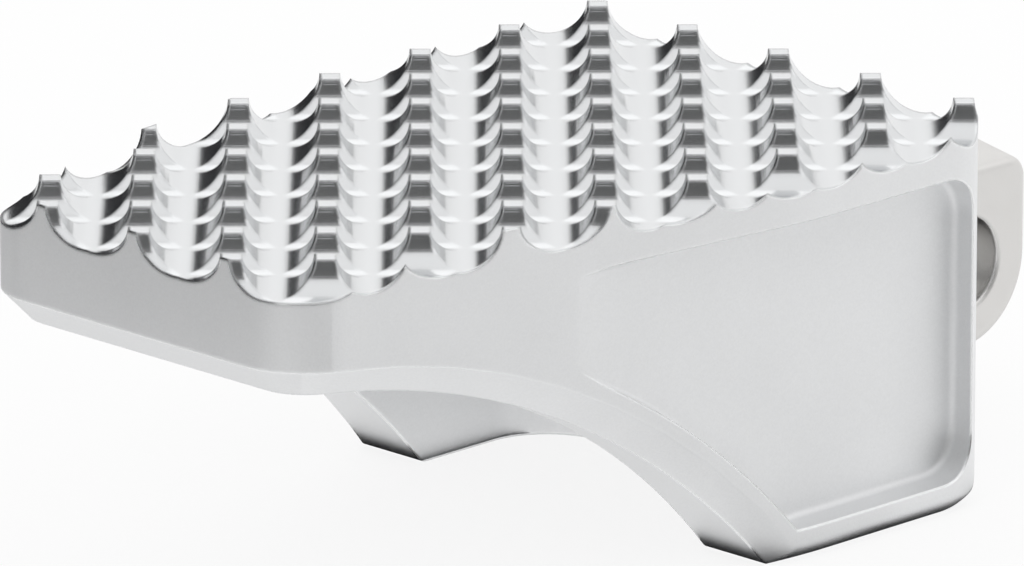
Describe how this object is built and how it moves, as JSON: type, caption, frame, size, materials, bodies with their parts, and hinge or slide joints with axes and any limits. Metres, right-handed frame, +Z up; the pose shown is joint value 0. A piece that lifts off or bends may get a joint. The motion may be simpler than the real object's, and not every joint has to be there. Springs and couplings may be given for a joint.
{
  "type": "motorbike footpeg",
  "caption": "Footpeg with a tapered tread of cross-milled square teeth on an arched, gusseted body with pocketed sides, and a forged pivot lug bored across for a hinge pin.",
  "frame": {"origin": "centre of the pivot bore, halfway through the lug", "axes": "+X from the tip of the tread to the pivot, +Y across the peg along the pivot axis, +Z up out of the tread"},
  "size_m": [0.1218, 0.0626, 0.0431],
  "materials": {
    "milled_alloy": "satin bead-blasted body with a bright machined tread",
    "forged_lug": "satin, slightly warm",
    "fastener_steel": "plain bright steel",
    "washer_steel": "plain bright steel"
  },
  "bodies": {
    "root": {"peg_body": "milled_alloy", "pivot_lug": "forged_lug", "lug_screw_front": "fastener_steel", "lug_screw_rear": "fastener_steel", "lug_washer_front": "washer_steel", "lug_washer_rear": "washer_steel"}
  },
  "joints": []
}
